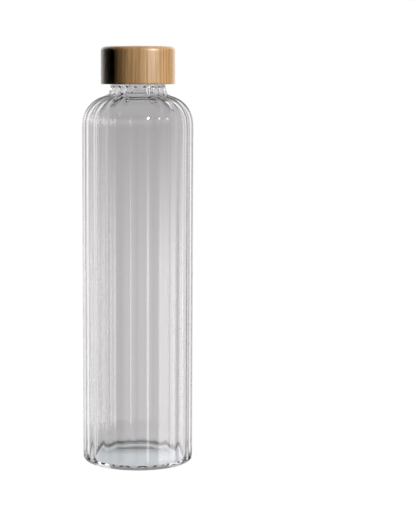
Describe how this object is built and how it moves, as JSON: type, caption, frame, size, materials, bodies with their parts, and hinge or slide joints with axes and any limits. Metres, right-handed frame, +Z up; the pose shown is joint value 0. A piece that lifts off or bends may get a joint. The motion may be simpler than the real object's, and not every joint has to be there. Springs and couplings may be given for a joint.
{
  "type": "glass water bottle",
  "caption": "Slim ribbed clear glass water bottle with a rounded shoulder, a short threaded neck and a screw-on bamboo cap with a moulded insert and a seal.",
  "frame": {"origin": "on the bottle's axis, in the plane of the foot that the bottle stands on", "axes": "+Z up along the bottle's axis, from the foot to the cap; +X through the crest of a rib and the lower start of the glass thread"},
  "size_m": [0.065, 0.065, 0.244],
  "materials": {
    "glass": "clear polished borosilicate glass",
    "bamboo": "turned bamboo, satin lacquer",
    "insert": "natural polypropylene, matte",
    "seal": "translucent silicone"
  },
  "bodies": {
    "bottle": {"glass_body": "glass"},
    "seal": {"seal_ring": "seal"},
    "cap": {"bamboo_cap": "bamboo", "thread_insert": "insert"}
  },
  "joints": [
    {"name": "cap_lift", "type": "slide", "parent": "bottle", "child": "seal", "axis": [0, 0, 1], "range_m": [0, 0.02]},
    {"name": "cap_turn", "type": "hinge", "parent": "seal", "child": "cap", "pos_m": [0, 0, 0.2304], "axis": [0, 0, 1], "range_deg": [0, 1800]}
  ],
  "couplings": [
    {"joint": "cap_lift", "follows": "cap_turn", "m_per_rad": 0.00063662}
  ]
}
